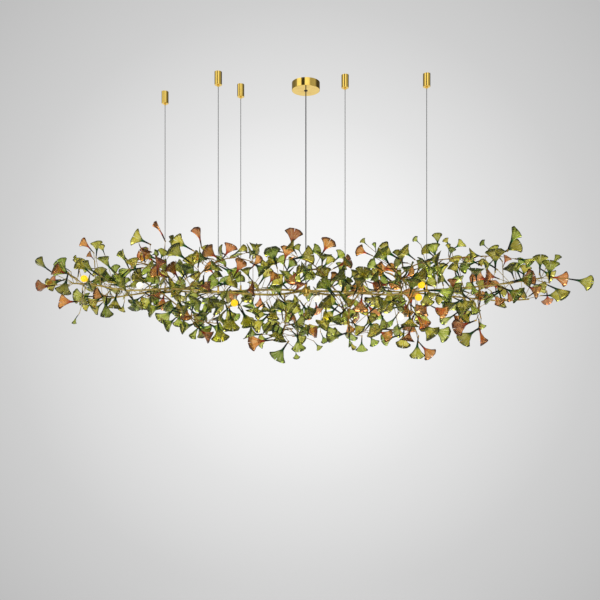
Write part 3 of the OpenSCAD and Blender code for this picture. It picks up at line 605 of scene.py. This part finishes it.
leaf_v = np.concatenate([STEM_Z, APEX + FAN_R]) / (APEX + REACH)
one_leaf = leaf_faces()
leaf_points = rings * sides
leaf_uv = np.stack(np.broadcast_arrays((LOOP_U[None, :] + 1) / 2, leaf_v[:, None]), -1).reshape(-1, 2)
rng = np.random.default_rng(11)
for name in GREEN_SETS + AMBER_SETS:
    data = leaves[name]
    dice = rng.random((len(data), 3))
    points = glass_leaves(data, dice).reshape(-1, 3)
    faces = [[i + k * leaf_points for i in f] for k in range(len(data)) for f in one_leaf]
    glass = amber_glass if name in AMBER_SETS else green_glass
    uv = np.tile(leaf_uv, (len(data), 1))
    piece = make_piece("glass_" + name, points, faces, "foliage", [glass], uv)
    point_numbers(piece, "leaf_dice", np.repeat(dice[:, 0], leaf_points))
    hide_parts(name)
print("faces in one leaf:", len(one_leaf), "leaves:", sum(len(d) for d in leaves.values()))

# %% [markdown]
# Each little lamp is a frosted globe on a ceramic collar, with two pins that push into the socket. The
# solid knows where it stands: its pull joint gives the axis and the end of its plug gives the foot. A
# turned profile makes globe and collar in one go. The globe glows most near its middle, where the light
# is, which a number on each of its points says. Further off, the glow and the frosted shell have the
# darker edge colour.

# %% Lamps
LAMPS = range(1, 9)
WARM = {1, 3, 6, 7}
LAMP_SIDES = 20
# Metres: the plug's length, the gap between it and the collar, and the globe's lowest point above the
# plug's end.
PLUG_L = 0.008
COLLAR_GAP = 0.00015
GLOBE_FOOT = 0.00415
# The collar by radius and height above its own foot, with a waist under its upper edge.
NECK_R = 0.0045
WAIST_R = NECK_R * 0.86
COLLAR = [(0.0002, 0), (NECK_R, 0), (NECK_R, 0.0022),
          (WAIST_R, 0.0026), (WAIST_R, 0.0034), (NECK_R, 0.0038)]
# The two pins: their profile, how many sides they have and how far from the axis they stand.
PIN = [(0.0005, 0), (0.0006, 0.0004), (0.0006, PLUG_L + 0.0005)]
PIN_SIDES = 8
PIN_X = 0.0012
# A direction that no lamp points in, from which a lamp's own sides are found.
ASLANT = (0.1, 0.2, 1)
# Where the glow is fullest and how far it reaches, as parts of the lamp's length.
GLOW_MIDDLE, GLOW_REACH = 0.62, 0.42
GLOW_STRENGTH = 0.42


def glowing(name, colour, edge):
    """Frosted glass lit from inside: the glow fades from colour to edge with the number stored on it."""
    material, tree, shader = new_material(
        name, Base_Color=edge, Transmission_Weight=0.35, IOR=1.5, Emission_Strength=GLOW_STRENGTH)
    frost = noise(tree, object_place(tree), 420.0, 3.0)
    fill(tree, shader.inputs["Roughness"], math_node(tree, "MULTIPLY_ADD", frost, 0.3, 0.25))
    inner = add(tree, "ShaderNodeAttribute", {"attribute_name": "glow"}).outputs["Fac"]
    inner = math_node(tree, "MULTIPLY_ADD", frost, 0.2, inner, clamp=True)
    fill(tree, shader.inputs["Emission Color"], mix_colour(tree, inner, edge, colour))
    return material


warm_globe = glowing("warm_globe", rgb(255, 228, 44), rgb(248, 202, 20))
white_globe = glowing("white_globe", rgb(252, 250, 244), rgb(234, 231, 222))


def lamp_profile(length):
    """(radius, height) of collar and globe: the globe's circle starts 62 degrees below its middle."""
    r = (length - PLUG_L - GLOBE_FOOT) / 2
    middle = length - r
    a = np.radians(np.linspace(-62, 90, 13))
    globe = np.stack([np.maximum(r * np.cos(a), 1e-5), middle + r * np.sin(a)], -1)
    return np.concatenate([np.array(COLLAR) + (0, PLUG_L + COLLAR_GAP), globe])


def place_on(points, foot, axis):
    """Points of a body along Z set on the foot with Z turned to the axis."""
    side = np.cross(axis, ASLANT)
    side /= np.linalg.norm(side)
    return np.asarray(foot) + points @ np.stack([side, np.cross(axis, side), axis])


pulls = {j["child"]: np.array(j["axis"]) / np.linalg.norm(j["axis"]) for j in frame["joints"]}
for k in LAMPS:
    axis = pulls[f"lamp_{k}"]
    co = node_points(f"bulb_{k}").astype(float)
    height = co @ axis
    foot = np.unique(np.round(co[height < height.min() + 1e-5], 6), axis=0).mean(0)
    length = height.max() - height.min()
    profile = lamp_profile(length)
    points = turned(profile, LAMP_SIDES, (0, 0, 0))
    faces = ring_faces(len(profile), LAMP_SIDES)
    # The collar's faces and the flat face under it are ceramic, the others and the tip are glass.
    collar_faces = (len(COLLAR) - 1) * LAMP_SIDES
    kind = [1] * collar_faces + [0] * (len(faces) - 2 - collar_faces) + [1, 0]
    for x in (-PIN_X, PIN_X):
        pin_faces = [[len(points) + v for v in f] for f in ring_faces(len(PIN), PIN_SIDES)]
        faces += pin_faces
        kind += [2] * len(pin_faces)
        points = np.concatenate([points, turned(PIN, PIN_SIDES, (x, 0, 0))])
    glass = warm_globe if k in WARM else white_globe
    piece = make_piece(f"lamp_globe_{k}", place_on(points, foot, axis), faces, f"lamp_{k}",
                       [glass, ceramic, socket_metal], face_material=kind)
    glow = 1 - np.abs(points[:, 2] - length * GLOW_MIDDLE) / (length * GLOW_REACH)
    point_numbers(piece, "glow", np.clip(glow, 0, 1))
    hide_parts(f"bulb_{k}")
    print(f"lamp {k}:", round(length * 1000, 1), "mm long")

# %% [markdown]
# The wires and the power cord run taut from the ceiling to the stems. When the light is raised, the
# wires slide up through the grippers and the cord up into the canopy, so each is a piece of its own on
# the ceiling's set.

# %% Wires and cord
ROPE_SIDES = 24
RINGS_PER_TURN = 6


def twisted(name, node, lobes, turns, depth, material):
    """A rope of strands: the radius is r * (1 - depth * (1 - cos(lobes * angle - twist)) / 2).

    It takes the place of a straight upright node, and turns is how often the pattern passes one side.
    """
    low, high = (np.array(c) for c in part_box(node))
    length = high[2] - low[2]
    centre = (low + high) / 2
    r = (high[0] - low[0]) / 2
    z = np.linspace(low[2], high[2], turns * RINGS_PER_TURN + 1)
    t = np.linspace(0, 2 * np.pi, ROPE_SIDES, endpoint=False)
    twist = (z - low[2])[:, None] / length * 2 * np.pi * turns
    radius = r * (1 - depth * (1 - np.cos(lobes * (t[None, :] - twist / lobes))) / 2)
    points = np.stack([centre[0] + radius * np.cos(t), centre[1] + radius * np.sin(t),
                       np.repeat(z[:, None], ROPE_SIDES, 1)], -1).reshape(-1, 3)
    piece = make_piece(name, points, ring_faces(len(z), ROPE_SIDES), "ceiling_set", [material])
    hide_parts(node)
    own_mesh(piece)
    print(node + ":", round(length, 3), "m")


for i in range(1, 6):
    twisted(f"steel_rope_{i}", f"wire_{i}", lobes=6, turns=60, depth=0.14,
            material=wire_steel)
twisted("sheathed_cord", "power_cord", lobes=3, turns=30, depth=0.05,
        material=cord_sheath)

# %% [markdown]
# Everything else keeps its solid's shape and gets its metal or plastic.

# %% Finish of the pieces kept as they are
KEPT = {
    "ceiling_plate": steel, "terminal_block": white_plastic, "cord_clamp": white_plastic,
    "canopy_cover": polished_brass, "cord_grommet": black_plastic, "hub": polished_brass,
    "wire_lugs": polished_brass, "lamp_sockets": socket_metal}
KEPT.update({f"ceiling_base_{i}": steel for i in range(1, 6)})
KEPT.update({f"gripper_cup_{i}": polished_brass for i in range(1, 6)})
KEPT.update({f"release_{i}": polished_brass for i in range(1, 6)})
KEPT.update({f"arm_{side}": arm_brass for side in ("right", "front", "back", "rear")})
KEPT.update({f"branch_{i}": stem_brass for i in range(1, 10)})
for name, material in KEPT.items():
    nodes[name].data.materials.clear()
    nodes[name].data.materials.append(material)

# %% [markdown]
# The room: the camera, and what is seen through the glass, get a pale grey backdrop that is brightest
# behind the middle of the light and falls off all round. Reflections get the studio's dark and bright
# walls over a pale ground, which draw the upright bands on the canopy. All other light comes from an
# even grey.

# %% World
# Grey of the backdrop by the larger of a direction's X and Y parts, which is 1 straight ahead.
BACKDROP = [(0.6, 0.5), (0.78, 0.52), (0.87, 0.625), (0.94, 0.77), (0.982, 0.905), (1.0, 0.93)]
# Grey of the walls by direction in degrees, 0 in front of the light and positive to its right.
WALLS = [(-180, 0.25), (-110, 0.2), (-82, 0.35), (-74, 1.3), (-44, 1.4), (-34, 0.05), (-12, 0.05),
         (-5, 1.4), (24, 1.2), (38, 0.45), (80, 0.5), (100, 0.06), (150, 0.08), (180, 0.25)]
GROUND_GREY = 0.95
EVEN_GREY = 0.55

world = bpy.data.worlds.new("room")
bpy.context.scene.world = world
world.use_nodes = True
tree = world.node_tree
tree.nodes.clear()
calc = functools.partial(math_node, tree)
way = add(tree, "ShaderNodeTexCoord").outputs["Generated"]
axes = add(tree, "ShaderNodeSeparateXYZ", Vector=way).outputs
ahead = calc("MAXIMUM", calc("ABSOLUTE", axes["X"]), calc("ABSOLUTE", axes["Y"]))
backdrop = ramp(tree, ahead, [(place, grey(v)) for place, v in BACKDROP])
turn = calc("ARCTAN2", axes["X"], calc("MULTIPLY", axes["Y"], -1.0))
turn = calc("MULTIPLY_ADD", turn, 1 / (2 * math.pi), 0.5)
walls = ramp(tree, turn, [(degrees / 360 + 0.5, grey(v)) for degrees, v in WALLS])
below = calc("MULTIPLY_ADD", axes["Z"], -3.0, 0.2, clamp=True)
walls = mix_colour(tree, below, walls, grey(GROUND_GREY))
light_path = add(tree, "ShaderNodeLightPath").outputs
seen = calc("MAXIMUM", light_path["Is Camera Ray"], light_path["Is Transmission Ray"])
colour = mix_colour(tree, light_path["Is Glossy Ray"], grey(EVEN_GREY), walls)
colour = mix_colour(tree, seen, colour, backdrop)
background = add(tree, "ShaderNodeBackground", Color=colour, Strength=1.0)
add(tree, "ShaderNodeOutputWorld", Surface=background.outputs[0])

# %% [markdown]
# Three soft area lights, which the metal doesn't mirror, and a pale floor far below the picture, which
# fades out 1.8 m from its middle.

# %% Lamps of the studio and the floor
LEAVES_MIDDLE = (0, 0, -0.75)
FLOOR_Z = -2.45


def area_light(name, place, size, power):
    """A rectangular light of this size and power that shines on the middle of the leaves."""
    data = bpy.data.lights.new(name, "AREA")
    data.shape = "RECTANGLE"
    data.size, data.size_y = size
    data.energy = power
    lamp = bpy.data.objects.new(name, data)
    lamp.location = place
    way = np.array(LEAVES_MIDDLE, float) - np.array(place, float)
    down = math.acos(-way[2] / np.linalg.norm(way))
    lamp.rotation_euler = (down, 0, math.atan2(way[1], way[0]) - math.pi / 2)
    lamp.visible_glossy = False
    bpy.context.scene.collection.objects.link(lamp)


area_light("key", (-1.6, -2.6, 1.0), (1.6, 1.6), 60)
area_light("fill", (2.2, -2.0, -0.2), (1.4, 1.4), 25)
area_light("rim", (0.4, 2.2, 0.6), (2.4, 1.0), 35)

floor_material, tree, shader = new_material("pale_floor", Base_Color=grey(0.8), Roughness=0.6)
place = object_place(tree)
radius = add(tree, "ShaderNodeVectorMath", {"operation": "LENGTH"}, i0=place).outputs["Value"]
fade = math_node(tree, "MULTIPLY_ADD", radius, -0.55, 1.0, clamp=True)
fill(tree, shader.inputs["Alpha"], math_node(tree, "POWER", fade, 2.0))
corners = [[-3, -3, 0], [3, -3, 0], [3, 3, 0], [-3, 3, 0]]
floor = make_piece("floor", corners, [[0, 1, 2, 3]], None, [floor_material])
floor.location = (0, 0, FLOOR_Z)
